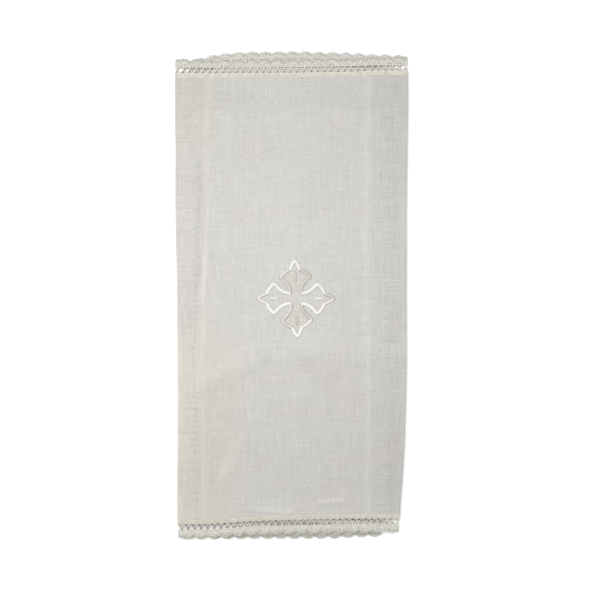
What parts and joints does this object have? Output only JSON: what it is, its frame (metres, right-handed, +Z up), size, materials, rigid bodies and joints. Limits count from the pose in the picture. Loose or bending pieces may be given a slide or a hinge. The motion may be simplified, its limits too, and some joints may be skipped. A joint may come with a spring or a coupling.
{
  "type": "purificator",
  "caption": "Linen altar cloth folded lengthwise in three, with crochet lace along both ends and an embroidered cross on its front panel.",
  "frame": {"origin": "on the surface that the cloth lies on, under the middle of its outline", "axes": "+X across the folded cloth, towards the fold of the middle flap; +Y along the folds, towards the top of the picture; +Z up, out of the front panel"},
  "size_m": [0.1588, 0.3322, 0.005],
  "materials": {
    "linen": "plain-woven off-white linen with slubs",
    "lace": "cream cotton crochet",
    "thread": "white silky satin stitch"
  },
  "bodies": {
    "root": {"linen_cloth": "linen", "lace_top": "lace", "lace_bottom": "lace", "cross_outline": "thread", "cross_vein_right": "thread", "cross_vein_top": "thread", "cross_vein_left": "thread", "cross_vein_bottom": "thread"}
  },
  "joints": []
}
